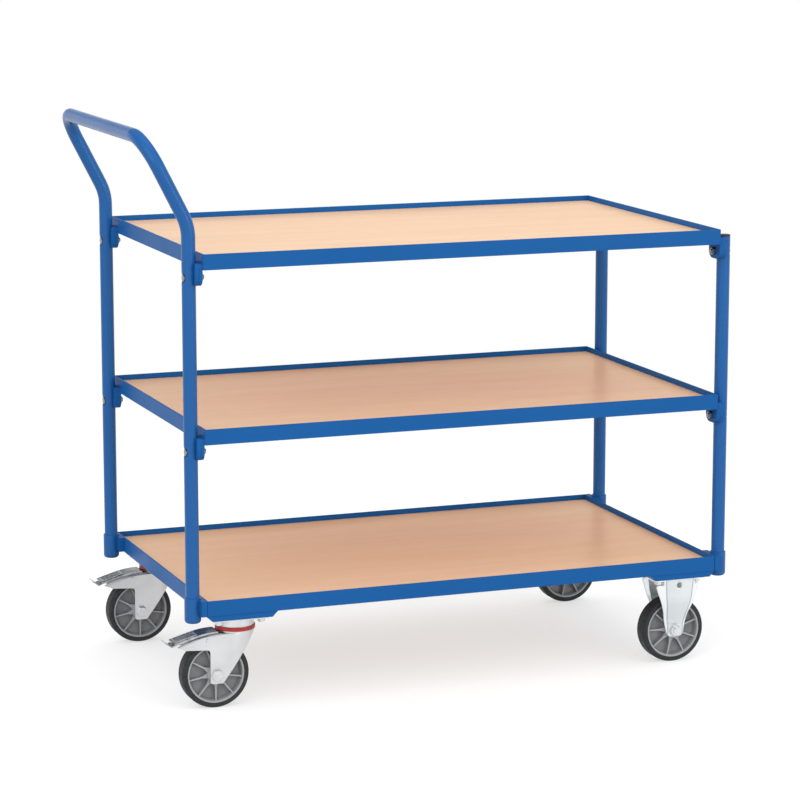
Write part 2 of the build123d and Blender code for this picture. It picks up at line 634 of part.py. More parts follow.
def fixed_side():
    """The fixed fork seen from the side: a neck between the nuts and cheeks that taper to a round end."""
    shoulder = PLATE_BOTTOM - FIXED_SHOULDER_DROP
    end_z = AXLE_Z - FIXED_END_BELOW_AXLE
    end, top = (FIXED_END_HALF, end_z), (FIXED_TOP_HALF, shoulder)
    waist = (FIXED_WAIST_HALF, AXLE_Z + FIXED_WAIST_ABOVE_AXLE)
    neck = [(FIXED_NECK_HALF, shoulder), (FIXED_NECK_HALF, PLATE_BOTTOM)]
    front = [end, (FIXED_END_HALF, AXLE_Z), waist, top, *neck]
    face = side_face(*front, *[(-x, z) for x, z in reversed(front)])
    face = fillet(corners_near(face, end, (-end[0], end[1])), FIXED_END_ROUND)
    return fillet(corners_near(face, top, (-top[0], top[1])), FIXED_SHOULDER_ROUND)


def fixed_fork():
    """A mounting plate and two cheeks, each a flat band with a dished hole between folded flanks."""
    cheeks = fixed_body(0) - fixed_body(FIXED_SHEET)
    cheeks &= extrude(fixed_side(), PLATE_WIDTH, both=True)
    cheeks -= Pos(0, 0, AXLE_Z) * across(AXLE_DIAMETER / 2 + SEAT_PLAY, -FORK_INSIDE, FORK_INSIDE)
    height = PLATE_BOTTOM - FIXED_HOLE_DROP
    cheeks -= Pos(0, 0, height) * across(FIXED_HOLE / 2, -PLATE_WIDTH, PLATE_WIDTH)
    dish = Cone(FIXED_HOLE / 2, FIXED_DISH / 2, FIXED_DISH_DEPTH, align=FROM_ABOVE)
    for turn in (-90, 90):
        cheeks -= Pos(0, 0, height) * Rot(turn, 0, 0) * Pos(0, 0, FIXED_TOP_REACH) * dish
    return top_plate() + cheeks


def axle_bolt():
    """A hexagon-headed axle bolt along Y, its head outside the cheek at -Y."""
    head = Pos(0, -FORK_HALF, 0) * Rot(90, 0, 0) * hexagon(AXLE_HEAD_FLATS, AXLE_HEAD_HEIGHT)
    return head + across(AXLE_DIAMETER / 2, -FORK_HALF, FORK_HALF + AXLE_NUT_HEIGHT + AXLE_END)


def axle_nut():
    """The nut of the axle bolt, outside the cheek at +Y."""
    nut = hexagon(AXLE_HEAD_FLATS, AXLE_NUT_HEIGHT) - Cylinder(AXLE_DIAMETER / 2, 4 * AXLE_NUT_HEIGHT)
    return Pos(0, FORK_HALF, 0) * Rot(-90, 0, 0) * nut


def axle_sleeve():
    """The tube that is clamped between the cheeks, for the hub to run on."""
    half = FORK_INSIDE / 2
    return across(AXLE_SLEEVE_DIAMETER / 2, -half, half) - across(AXLE_DIAMETER / 2 + SEAT_PLAY, -half, half)


def wheel_rim():
    """A moulded rim: hub, thin web with ribs on both sides, barrel and raised lip, its axis along Y."""
    bore = AXLE_SLEEVE_DIAMETER / 2 + RUNNING_PLAY
    hub = HUB_DIAMETER / 2
    outer = RIM_DIAMETER / 2
    lip = outer - RIM_LIP
    half, web = RIM_WIDTH / 2, WEB_THICKNESS / 2
    face = [(bore, HUB_LENGTH / 2), (hub, HUB_LENGTH / 2), (hub + HUB_DRAFT, web),
            (lip - RIM_BARREL_TAPER, web), (lip, half), (outer, half)]
    rim = turned(*face, *[(r, -z) for r, z in reversed(face)])
    root = hub - HUB_DRAFT
    side = [(root, RIB_AT_HUB / 2), (hub + RIB_FLARE, RIB_AFTER_FLARE / 2), (lip, RIB_AT_RIM / 2)]
    rib = make_face(Polyline(*side, *[(r, -y) for r, y in reversed(side)], close=True))
    rib = extrude(rib, half - RIB_SET_BACK, both=True)
    for turn in range(RIB_COUNT):
        rim += Rot(0, 0, turn * 360 / RIB_COUNT) * rib
    # The first rib points straight down
    return Rot(90, 0, 0) * Rot(0, 0, -90) * rim


def tyre():
    """A solid tyre with a flat tread and rounded shoulders, its axis along Y."""
    half = TYRE_WIDTH / 2
    ring = across(WHEEL_DIAMETER / 2, -half, half)
    ring = fillet(ring.edges().filter_by(GeomType.CIRCLE), TYRE_SHOULDER)
    return ring - across(RIM_DIAMETER / 2 + RUNNING_PLAY, -half, half)


def under_pedal(drop):
    """Everything below the pedal's upper face, or below a face that lies lower by a drop, about its pin."""
    front = (PEDAL_FRONT, PEDAL_FRONT_RISE - drop)
    bend = (PEDAL_BEND, PEDAL_BEND_RISE - drop)
    toe = (PEDAL_TOE, PEDAL_TOE_RISE - drop)
    return Plane.XZ * make_face([
        TangentArc(bend, front, tangent=(1, TREAD_SLOPE)),
        Polyline(front, (PEDAL_FRONT, -AXLE_Z), (PEDAL_TOE, -AXLE_Z), toe, bend),
    ])


def tread_height(x):
    """The height of the pedal's straight tread over its pin."""
    return PEDAL_BEND_RISE + (x - PEDAL_BEND) * TREAD_SLOPE


def pedal_flange():
    """The outline of a folded side of the pedal, with the lug that its pin passes through."""
    return side_face(
        (PEDAL_FRONT, AXLE_Z), (PEDAL_FLANGE_END, AXLE_Z),
        (PEDAL_FLANGE_END, tread_height(PEDAL_FLANGE_END) - PEDAL_FLANGE_DEPTH / 2),
        (-PEDAL_LUG_HALF - PEDAL_FLANGE_DEPTH, tread_height(-PEDAL_LUG_HALF) - PEDAL_FLANGE_DEPTH),
        (-PEDAL_LUG_HALF, 0), (-PEDAL_LUG_BELOW_PIN, -PEDAL_LUG_BELOW_PIN),
        (PEDAL_LUG_BELOW_PIN, -PEDAL_LUG_BELOW_PIN), (PEDAL_LUG_HALF, 0),
        (PEDAL_FRONT, PEDAL_FRONT_RISE - PEDAL_FLANGE_DEPTH),
    )


def pedal_tongue():
    """A plate below the tread that runs out behind it and turns up, to lift the pedal by."""
    root = tread_height(TONGUE_ROOT) - BRAKE_SHEET / 2
    line = [(TONGUE_ROOT, root), (TONGUE_BEND, TONGUE_BEND_RISE), (TONGUE_TIP, TONGUE_TIP_RISE)]
    outline = side_face(*line, *[(x, z - BRAKE_SHEET) for x, z in reversed(line)])
    return extrude(outline, TONGUE_HALF, both=True)


def pedal_pad():
    """A raised frame and the ribs in it, for the foot, about the middle of the pad."""
    inner_length = PEDAL_PAD_LENGTH - 2 * PEDAL_RIDGE_WIDTH
    inner_width = PEDAL_PAD_WIDTH - 2 * PEDAL_RIDGE_WIDTH
    height = 2 * PEDAL_RIDGE_HEIGHT
    pad = Box(PEDAL_PAD_LENGTH, PEDAL_PAD_WIDTH, height) - Box(inner_length, inner_width, height)
    pitch = inner_width / (PEDAL_RIBS + 1)
    for count in range(PEDAL_RIBS):
        rib = Box(inner_length - 2 * PEDAL_RIDGE_WIDTH, PEDAL_RIDGE_WIDTH, height)
        pad += Pos(0, (count + 1) * pitch - inner_width / 2, 0) * rib
    return pad


def brake_pedal():
    """A pressed pedal: a curved arm and a straight tread with folded sides, pivot lugs, pad and tongue."""
    pedal = extrude(under_pedal(0), PEDAL_HALF, both=True)
    sides = pedal & extrude(pedal_flange(), PEDAL_HALF, both=True)
    sides -= extrude(pedal_flange(), PEDAL_HALF - BRAKE_SHEET, both=True)
    pedal -= extrude(under_pedal(BRAKE_SHEET), 2 * PEDAL_HALF, both=True)
    pedal += sides
    pedal += pedal_tongue()
    slope = Rot(0, -degrees(atan(TREAD_SLOPE)), 0)
    pedal += Pos(PEDAL_PAD_MIDDLE, 0, tread_height(PEDAL_PAD_MIDDLE)) * slope * pedal_pad()
    pedal -= across(BRAKE_PIN_DIAMETER / 2 + RUNNING_PLAY, -PEDAL_HALF, PEDAL_HALF)
    return Pos(PIN_X, 0, PIN_Z) * pedal


def brake_shoe():
    """A rubber block under the pedal, hollowed so that it meets the tread when the pedal is down."""
    front = [(SHOE_FRONT, AXLE_Z), (SHOE_FRONT, -AXLE_Z)]
    rear = [(SHOE_REAR, -AXLE_Z), (SHOE_REAR, AXLE_Z)]
    block = extrude(side_face(*front, *rear), SHOE_WIDTH / 2, both=True)
    block &= extrude(under_pedal(BRAKE_SHEET), SHOE_WIDTH, both=True)
    # The wheel's place under the pressed pedal, turned back by the pedal's travel
    back = radians(BRAKE_TRAVEL)
    axle_x, axle_z = BRAKE_PIN_BEHIND_AXLE, AXLE_Z - PIN_Z
    wheel = Pos(axle_x * cos(back) + axle_z * sin(back), 0, axle_z * cos(back) - axle_x * sin(back))
    block -= wheel * across(WHEEL_DIAMETER / 2 + SHOE_CLEARANCE, -SHOE_WIDTH, SHOE_WIDTH)
    return Pos(PIN_X, 0, PIN_Z) * block


def brake_pin():
    """The pin through the fork's tail that the pedal turns on, riveted at both ends."""
    pin = across(BRAKE_PIN_DIAMETER / 2, -FORK_HALF, FORK_HALF)
    for side in SIDES.values():
        head = across(BRAKE_PIN_HEAD / 2, 0, BRAKE_PIN_HEAD_HEIGHT)
        pin += Pos(0, side * (FORK_HALF + BRAKE_PIN_HEAD_HEIGHT / 2) - BRAKE_PIN_HEAD_HEIGHT / 2, 0) * head
    return Pos(PIN_X, 0, PIN_Z) * pin


def caster_bolt():
    """A bolt from inside the bearer down through the caster's plate."""
    seat = CASTER_HEIGHT + BEARER_SHEET
    end = PLATE_BOTTOM - BOLT_NUT_HEIGHT - BOLT_END
    return Pos(0, 0, seat) * hexagon(BOLT_FLATS, BOLT_HEAD_HEIGHT) + upright(BOLT_DIAMETER / 2, end, seat)


def caster_nut():
    """The nut of a caster bolt, under the plate."""
    nut = hexagon(BOLT_FLATS, BOLT_NUT_HEIGHT) - Cylinder(BOLT_DIAMETER / 2, 4 * BOLT_NUT_HEIGHT)
    return Pos(0, 0, PLATE_BOTTOM - BOLT_NUT_HEIGHT) * nut


def at_every_caster_hole(piece):
    """One copy of a piece at each bolt hole of the four casters."""
    return [
        Pos(end * CASTER_X, side * CASTER_Y, 0) * spot * piece
        for end in (-1, 1)
        for side in SIDES.values()
        for spot in bolt_places(BOLT_SPACING_LONG, BOLT_SPACING_SHORT)
    ]


def at_both_sides(x, piece):
    """One copy of a piece at each side of the trolley."""
    return [Pos(x, side * CASTER_Y, 0) * piece for side in SIDES.values()]


def deck_nodes():
    """The decks with their tabs and bolts."""
    nodes = {}
    for name, rim in (("upper", UPPER_RIM), ("middle", MIDDLE_RIM), ("lower", LOWER_RIM)):
        nodes[f"{name}_frame"] = deck_frame(rim)
        nodes[f"{name}_board"] = [deck_board(rim)]
    for name, height in zip(("middle", "upper"), SHELF_BOLT_HEIGHTS):
        nodes[f"{name}_tabs"] = shelf_tabs(height)
    nodes["shelf_bolts"] = at_every_tab(shelf_bolt())
    nodes["shelf_nuts"] = at_every_tab(shelf_nut())
    return nodes


def tube_nodes():
    """The push handle, the posts and the sleeves that they stand in."""
    nodes = {"push_handle": [push_handle()]}
    for name, side in SIDES.items():
        nodes[f"post_{name}"] = [post(side)]
    nodes["post_caps"] = [post_cap(side) for side in SIDES.values()]
    nodes["corner_sleeves"] = [place * corner_sleeve() for place in tube_places(0)]
    nodes["sleeve_saddles"] = [place * sleeve_saddle() for place in tube_places(0)]
    return nodes


def caster_mount_nodes():
    """What carries the casters: bearers, plates, bolts and swivel heads."""
    nodes = {"swivel_bearer": [caster_bearer(-1)], "fixed_bearer": [caster_bearer(1)]}
    nodes["caster_bolts"] = at_every_caster_hole(caster_bolt())
    nodes["caster_nuts"] = at_every_caster_hole(caster_nut())
    nodes["ball_races"] = at_both_sides(-CASTER_X, ball_race())
    nodes["seal_rings"] = at_both_sides(-CASTER_X, seal_ring())
    nodes["kingpins"] = at_both_sides(-CASTER_X, kingpin())
    for name, side in SIDES.items():
        nodes[f"swivel_plate_{name}"] = [Pos(-CASTER_X, side * CASTER_Y, 0) * swivel_plate()]
    return nodes


def caster_nodes():
    """Forks, axles, wheels and brakes."""
    nodes = {}
    for name, side in SIDES.items():
        swivel = Pos(-CASTER_X, side * CASTER_Y, 0)
        axle = swivel * Pos(-SWIVEL_TRAIL, 0, AXLE_Z)
        nodes[f"swivel_fork_{name}"] = [swivel * swivel_fork()]
        nodes[f"axle_bolt_{name}"] = [axle * axle_bolt()]
        nodes[f"axle_nut_{name}"] = [axle * axle_nut()]
        nodes[f"axle_sleeve_{name}"] = [axle * axle_sleeve()]
        nodes[f"brake_pin_{name}"] = [swivel * brake_pin()]
        nodes[f"brake_pedal_{name}"] = [swivel * brake_pedal()]
        nodes[f"brake_shoe_{name}"] = [swivel * brake_shoe()]
        nodes[f"swivel_rim_{name}"] = [axle * wheel_rim()]
        nodes[f"swivel_tyre_{name}"] = [axle * tyre()]
        fixed = Pos(CASTER_X, side * CASTER_Y, 0)
        nodes[f"fixed_fork_{name}"] = [fixed * fixed_fork()]
        nodes[f"fixed_rim_{name}"] = [fixed * Pos(0, 0, AXLE_Z) * Rot(0, FIXED_WHEEL_TURN, 0) * wheel_rim()]
        nodes[f"fixed_tyre_{name}"] = [fixed * Pos(0, 0, AXLE_Z) * tyre()]
    # The fixed axles have their nuts towards -Y
    turned_axle = Pos(0, 0, AXLE_Z) * Rot(0, 0, 180)
    nodes["fixed_axle_bolts"] = at_both_sides(CASTER_X, turned_axle * axle_bolt())
    nodes["fixed_axle_nuts"] = at_both_sides(CASTER_X, turned_axle * axle_nut())
    nodes["fixed_axle_sleeves"] = at_both_sides(CASTER_X, turned_axle * axle_sleeve())
    return nodes


def write(name, solids):
    """Write one node, with the trolley's middle moved over the origin."""
    placed = [Pos(-ORIGIN_X, 0, 0) * solid for solid in solids]
    shape = placed[0] if len(placed) == 1 else Compound(children=placed)
    export_step(shape, f"parts/{name}.step")


def main():
    os.makedirs("parts", exist_ok=True)
    for nodes in (deck_nodes(), tube_nodes(), caster_mount_nodes(), caster_nodes()):
        for name, solids in nodes.items():
            write(name, solids)


main()
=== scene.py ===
"""Looks of the table trolley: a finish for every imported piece, studio light, floor and camera."""
import json
from math import cos, pi, radians, sin, sqrt

import bmesh
import bpy
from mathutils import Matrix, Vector


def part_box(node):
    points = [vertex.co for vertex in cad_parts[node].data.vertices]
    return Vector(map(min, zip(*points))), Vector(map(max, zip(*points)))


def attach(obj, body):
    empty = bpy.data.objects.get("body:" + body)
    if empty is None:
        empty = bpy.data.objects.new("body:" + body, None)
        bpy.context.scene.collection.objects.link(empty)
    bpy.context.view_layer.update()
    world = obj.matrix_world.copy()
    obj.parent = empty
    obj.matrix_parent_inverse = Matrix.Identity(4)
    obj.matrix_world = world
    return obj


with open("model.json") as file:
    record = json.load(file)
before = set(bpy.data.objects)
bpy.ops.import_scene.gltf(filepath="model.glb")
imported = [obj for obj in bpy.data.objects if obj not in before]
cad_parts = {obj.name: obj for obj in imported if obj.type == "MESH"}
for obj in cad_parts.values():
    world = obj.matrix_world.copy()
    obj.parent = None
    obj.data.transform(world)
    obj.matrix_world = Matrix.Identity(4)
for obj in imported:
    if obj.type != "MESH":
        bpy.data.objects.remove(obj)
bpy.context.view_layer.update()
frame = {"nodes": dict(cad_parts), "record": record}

MM = 0.001

# Camera: place and reach in metres, turns in degrees, lens and sensor in millimetres
CAMERA_PLACE = (-1.9963, -5.3501, 1.5273)
CAMERA_YAW = 20.615
CAMERA_PITCH = 10.296
CAMERA_LENS = 137.59
CAMERA_REACH = 200
SENSOR_WIDTH = 36

# Floor: the lift is what it adds to its own shade where it is seen, and past the reach it is plain white
FLOOR_HALF = 60
FLOOR_COLOUR = (0.5, 0.5, 0.5, 1)
FLOOR_ROUGHNESS = 0.9
FLOOR_LIFT = 0.56
SHADOW_REACH = (0.9, 2.4)

# Sky: its light, and the darker ceiling that reflections show above a band of heights
SKY_LIGHT = 1.02
CEILING = 0.3
CEILING_RISE = (0.15, 0.32)

# Softboxes, in metres and watts
LAMP_AIM = (0, 0, 0.5)
LAMPS = {
    "front_right": {"place": (2.2, -5.0, 2.9), "width": 5.5, "height": 5.0, "power": 45},
    "front_left": {"place": (-3.8, -4.2, 2.9), "width": 5.5, "height": 5.0, "power": 105},
    "top": {"place": (0.2, -0.6, 4.2), "width": 3.0, "height": 3.0, "power": 18},
    "right_strip": {"place": (2.9, -4.9, 1.0), "width": 0.7, "height": 1.6, "power": 20},
}

# Rims: how far each wheel's middle is from the trolley's, and how far the ribs rise from it on both sides,
# where their outermost faces get a painted highlight
CASTER_Y = 248 * MM
RIB_TOP = 12.6 * MM
RIB_FADE = 0.6 * MM

# Fixed forks: how far the folds are from the middle of each cheek, at three heights, then the width and
# depth of the painted shade along the folds and the share of random paler clouds
FOLD_FOOT = 74 * MM
FOLD_KNEE = 130.5 * MM
FOLD_TOP = 164.5 * MM
FOLD_AT_FOOT = 15.5 * MM
FOLD_AT_KNEE = 25.5 * MM
FOLD_AT_TOP = 28 * MM
FOLD_LINE = 1.7 * MM
FOLD_SHADE = 0.75
FOLD_CLOUD = 0.35

# Brake pedals: the sloping plane of the pads, the rise of the ridges over it, above which they get a
# painted highlight, and where the pads end
PAD_BACK = -473.562 * MM
PAD_HEIGHT = 136.437 * MM
PAD_SLOPE = 0.2785
PAD_RIDGE = 1.2 * MM
PAD_FADE = 0.4 * MM
PAD_END = -511.2 * MM

# Saddles that seat the shelf tabs on the tubes; edges sharper than the angle, in degrees, are rounded
TUBE_RADIUS = 12.5 * MM
SADDLE_SEAT = 12.9 * MM
SADDLE_BACK = 12.8 * MM
SADDLE_REACH = 5.5 * MM
SADDLE_HALF = 22.4 * MM
SADDLE_STEPS = 18
SADDLE_EDGE = 0.9 * MM
SADDLE_EDGE_STEPS = 2
SADDLE_EDGE_ANGLE = 50
TAB_HALF = 23 * MM
TAB_TOE_ROUND = 15 * MM
TAB_TOP_ROUND = 5 * MM

# Weld beads: the tip is the share of the radius that they start from, and the dip the depth of the ripples
BEAD_RADIUS = 1.7 * MM
BEAD_STEP = 0.9 * MM
BEAD_RIPPLE = 3.6 * MM
BEAD_DIP = 0.12
BEAD_TIP = 0.35
BEAD_SWELL = 3
BEAD_SIDES = 8
SLEEVE_RADIUS = 15 * MM

# Colours, linear
WHITE = (1, 1, 1, 1)
BLUE = (0.0135, 0.112, 0.352, 1)
BLUE_DEEP = (0.012, 0.104, 0.328, 1)
BEECH = (0.9, 0.585, 0.352, 1)
BEECH_DARK = (0.86, 0.54, 0.316, 1)
BEECH_FLECK = (0.52, 0.29, 0.155, 1)
# Pale zinc, for random clouds and painted highlights; the fixed forks' band zinc, darkened as painted
# shade
ZINC_PALE_AND_HIGHLIGHT = (0.84, 0.87, 0.88, 1)
ZINC_BAND_PAINTED_SHADE = (0.62, 0.665, 0.68, 1)
ZINC = (0.7, 0.71, 0.72, 1)
ZINC_DULL = (0.6, 0.615, 0.625, 1)
# Zinc darkened as painted shade, for parts that reflect dark surroundings
ZINC_DARK_SHADE = (0.3, 0.31, 0.315, 1)
ZINC_SHADE = (0.2, 0.215, 0.23, 1)
RIM_GREY = (0.25, 0.255, 0.265, 1)
RIM_DEEP = (0.205, 0.2091, 0.2173, 1)
# Paler grey, a painted highlight on the rims' edges
RIM_EDGE_HIGHLIGHT = (0.38, 0.385, 0.395, 1)
TYRE_GREY = (0.019, 0.022, 0.023, 1)
TYRE_WORN = (0.031, 0.035, 0.036, 1)
RED = (0.46, 0.022, 0.02, 1)
RED_DEEP = (0.33, 0.014, 0.014, 1)
BLACK = (0.012, 0.012, 0.013, 1)
BLACK_WORN = (0.024, 0.024, 0.026, 1)

# Shader settings; most of a noise's values lie between its low and high
BEVEL_SAMPLES = 4
PLAIN_SPECULAR = 0.5
NOISE_LOW = 0.3
NOISE_HIGH = 0.7


class Nodes:
    """A node tree, with short ways to add nodes to it."""

    def __init__(self, tree):
        self.tree = tree

    def set(self, node, inputs):
        """Give a node's inputs a value or a link."""
        for name, value in inputs.items():
            if isinstance(value, bpy.types.NodeSocket):
                self.tree.links.new(value, node.inputs[name])
            else:
                node.inputs[name].default_value = value

    def add(self, kind, inputs=None, **settings):
        """A new node with its settings and inputs."""
        node = self.tree.nodes.new("ShaderNode" + kind)
        for name, value in settings.items():
            setattr(node, name, value)
        self.set(node, inputs or {})
        return node

    def spread(self, value, low, high, start=NOISE_LOW, end=NOISE_HIGH):
        """A value that runs from low to high as another goes from start to end."""
        inputs = {"Value": value, "From Min": start, "From Max": end, "To Min": low, "To Max": high}
        return self.add("MapRange", inputs).outputs["Result"]

    def maths(self, operation, a, b=0.0):
        """One sum on two values."""
        node = self.add("Math", operation=operation)
        self.set(node, {0: a, 1: b})
        return node.outputs["Value"]

    def blend(self, share, first, second):
        """A colour between two others, which a colour mix has in sockets 6 and 7, with its result in 2."""
        node = self.add("Mix", data_type="RGBA")
        self.set(node, {0: share, 6: first, 7: second})
        return node.outputs[2]

    def seen_rays(self):
        """1 for rays from the camera and for reflections, 0 for rays that only light things."""
        path = self.add("LightPath").outputs
        seen = self.maths("MAXIMUM", path["Is Camera Ray"], path["Is Glossy Ray"])
        return self.maths("MAXIMUM", seen, path["Is Transmission Ray"])


class Finish(Nodes):
    """A material with one main shader."""

    def __init__(self, name, metallic=0.0, specular=PLAIN_SPECULAR):
        self.material = bpy.data.materials.new(name)
        self.material.use_nodes = True
        super().__init__(self.material.node_tree)
        self.shader = self.tree.nodes["Principled BSDF"]
        self.set(self.shader, {"Metallic": metallic, "Specular IOR Level": specular})

    def place(self, stretch=(1, 1, 1)):
        """The point on the surface, in metres, with its axes stretched."""
        point = self.add("TexCoord").outputs["Object"]
        return self.add("Mapping", {"Vector": point, "Scale": stretch}).outputs["Vector"]

    def axes(self):
        """The point's X, Y and Z."""
        return self.add("SeparateXYZ", {"Vector": self.place()}).outputs

    def noise(self, scale, detail, stretch=(1, 1, 1)):
        """Cloudy noise from 0 to 1, with so many features to the metre."""
        inputs = {"Vector": self.place(stretch), "Scale": scale, "Detail": detail}
        return self.add("TexNoise", inputs).outputs["Fac"]

    def mottle(self, first, second, scale, detail):
        """A colour that drifts between two others."""
        return self.blend(self.spread(self.noise(scale, detail), 0, 1), first, second)

    def colour(self, socket):
        """Give the shader its colour."""
        self.set(self.shader, {"Base Color": socket})

    def gloss(self, noise, smooth, rough):
        """A roughness that drifts between two values."""
        self.set(self.shader, {"Roughness": self.spread(noise, smooth, rough)})

    def relief(self, height, depth, edge):
        """A bumpy surface of so many metres in depth, with edges softened to a radius."""
        inputs = {"Height": height, "Strength": 1.0, "Distance": depth}
        if edge:
            soft = self.add("Bevel", {"Radius": edge}, samples=BEVEL_SAMPLES)
            inputs["Normal"] = soft.outputs["Normal"]
        self.set(self.shader, {"Normal": self.add("Bump", inputs).outputs["Normal"]})

    def skin(self, roughness, patches, grain, depth, edge):
        """Uneven gloss and a fine relief; patches and grain are features to the metre and their detail."""
        self.gloss(self.noise(*patches), *roughness)
        self.relief(self.noise(*grain), depth, edge)


def mottled(name, colours, clouds, skin, **shader):
    """A plain finish of two colours in clouds, which are features to the metre and their detail."""
    finish = Finish(name, **shader)
    finish.colour(finish.mottle(*colours, *clouds))
    finish.skin(**skin)
    return finish.material


def powder_coat(name, specular, roughness, edge):
    """Blue powder coat with the faint ripple of a baked finish."""
    skin = dict(roughness=roughness, patches=(12, 2), grain=(60, 1), depth=0.02 * MM, edge=edge)
    return mottled(name, (BLUE_DEEP, BLUE), clouds=(5, 4), skin=skin, specular=specular)


def blue_paint():
    """The paint on angle steel and sheet, with softened edges."""
    return powder_coat("blue_powder_coat", specular=0.05, roughness=(0.3, 0.4), edge=0.9 * MM)


def blue_tube():
    """The glossier paint on the round tubes."""
    return powder_coat("blue_powder_coat_tube", specular=0.22, roughness=(0.2, 0.26), edge=0)


def beech_board():
    """Pale beech-effect melamine: long soft figure and short flecks along the board."""
    finish = Finish("beech_melamine", specular=0.35)
    figure = finish.noise(scale=9, detail=5, stretch=(0.35, 3.2, 1))
    base = finish.blend(finish.spread(figure, 0, 1, start=0.35, end=0.68), BEECH, BEECH_DARK)
    flecks = finish.noise(scale=150, detail=2, stretch=(0.9, 9, 1))
    share = finish.spread(flecks, low=0, high=0.14, start=0.6, end=0.72)
    finish.colour(finish.blend(share, base, BEECH_FLECK))
    finish.gloss(finish.noise(scale=60, detail=3, stretch=(0.5, 3, 1)), smooth=0.28, rough=0.38)
    finish.relief(flecks, depth=0.004 * MM, edge=0.4 * MM)
    return finish.material


def zinc_sheet():
    """Bright zinc plate on pressed sheet, a little cloudy."""
    skin = dict(roughness=(0.32, 0.42), patches=(60, 3), grain=(150, 2), depth=0.03 * MM, edge=0.6 * MM)
    return mottled("zinc_sheet", (ZINC_DULL, ZINC), clouds=(16, 3), skin=skin, metallic=1.0)


def zinc_fastener():
    """Zinc-plated bolts and nuts."""
    skin = dict(roughness=(0.2, 0.4), patches=(300, 3), grain=(1500, 2), depth=0.02 * MM, edge=0.4 * MM)
    return mottled("zinc_fastener", (ZINC_DULL, ZINC), clouds=(160, 3), skin=skin, metallic=1.0)


def shelf_bolt():
    """Zinc darkened as painted shade on the bolts and nuts that hold the upper decks, for the dark they
    reflect under the decks.
    """
    skin = dict(roughness=(0.25, 0.4), patches=(300, 3), grain=(1500, 2), depth=0.02 * MM, edge=0.4 * MM)
    # painted shade: zinc colours darkened so the bolts and nuts look as dark as their reflections
    return mottled("zinc_shelf_bolt", (ZINC_SHADE, ZINC_DARK_SHADE), clouds=(160, 3), skin=skin, metallic=1.0)


def folded_sheet():
    """Zinc plate on the fixed forks, with painted shade in the creases between each cheek's band and its
    flanks, painted shade on the band and a painted highlight on the flanks, among random paler clouds.
    """
    finish = Finish("zinc_folded_sheet", metallic=1.0)
    low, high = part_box("fixed_fork_right")
    place = finish.axes()
    off = finish.maths("ABSOLUTE", finish.maths("SUBTRACT", place["X"], (low[0] + high[0]) / 2))
    lower = finish.spread(place["Z"], FOLD_AT_FOOT, FOLD_AT_KNEE, FOLD_FOOT, FOLD_KNEE)
    upper = finish.spread(place["Z"], 0, FOLD_AT_TOP - FOLD_AT_KNEE, FOLD_KNEE, FOLD_TOP)
    past = finish.maths("SUBTRACT", off, finish.maths("ADD", lower, upper))
    # painted shade: a dark line along each fold, where the band meets a flank
    painted_crease_shade = finish.spread(finish.maths("ABSOLUTE", past), low=FOLD_SHADE, high=0, start=0, end=FOLD_LINE)
    # painted highlight: the flanks lighter than the band, as if they faced the light
    painted_flank_highlight = finish.spread(past, 0, 1, start=-FOLD_LINE, end=FOLD_LINE)
    cloud = finish.spread(finish.noise(scale=16, detail=3), 0, FOLD_CLOUD)
    # the band's darker zinc is painted shade; the paler zinc is a painted highlight on the flanks and
    # random clouds elsewhere
    plate = finish.blend(finish.maths("MAXIMUM", painted_flank_highlight, cloud), ZINC_BAND_PAINTED_SHADE, ZINC_PALE_AND_HIGHLIGHT)
    finish.colour(finish.blend(painted_crease_shade, plate, ZINC_SHADE))
    finish.skin(roughness=(0.3, 0.4), patches=(60, 3), grain=(150, 2), depth=0.03 * MM, edge=1.6 * MM)
    return finish.material


def brake_pedal():
    """Zinc on the pressed pedals, darkened as painted shade for the dark it reflects, with a painted
    highlight on the raised ridges of the pad.
    """
    finish = Finish("zinc_pedal", metallic=1.0)
    place = finish.axes()
    tread = finish.maths("MULTIPLY", finish.maths("SUBTRACT", place["X"], PAD_BACK), PAD_SLOPE)
    rise = finish.maths("SUBTRACT", finish.maths("SUBTRACT", place["Z"], PAD_HEIGHT), tread)
    # painted highlight: the raised ridges of the pad paler than the plate
    ridge_highlight = finish.spread(rise, 0, 1, start=PAD_RIDGE - PAD_FADE, end=PAD_RIDGE)
    ridge_highlight = finish.maths("MULTIPLY", ridge_highlight, finish.maths("GREATER_THAN", place["X"], PAD_END))
    # painted shade: the plate's zinc darkened to stand for dark reflections
    plate = finish.mottle(ZINC_DARK_SHADE, ZINC_DULL, scale=60, detail=4)
    finish.colour(finish.blend(ridge_highlight, plate, ZINC_PALE_AND_HIGHLIGHT))
    finish.skin(roughness=(0.18, 0.3), patches=(90, 3), grain=(250, 2), depth=0.04 * MM, edge=0.5 * MM)
    return finish.material


def grey_rim():
    """Moulded grey plastic, with a painted highlight on the edges of the ribs, the lip and the hub."""
    finish = Finish("grey_moulded_rim")
    across = finish.maths("ABSOLUTE", finish.axes()["Y"])
    offset = finish.maths("ABSOLUTE", finish.maths("SUBTRACT", across, CASTER_Y))
    # painted highlight: paler grey on the outermost faces of the ribs, lip and hub
    edge = finish.spread(offset, 0, 1, start=RIB_TOP - RIB_FADE, end=RIB_TOP)
    plastic = finish.mottle(RIM_DEEP, RIM_GREY, scale=55, detail=5)
    finish.colour(finish.blend(edge, plastic, RIM_EDGE_HIGHLIGHT))
    finish.skin(roughness=(0.42, 0.6), patches=(120, 3), grain=(900, 3), depth=0.05 * MM, edge=0.7 * MM)
    return finish.material


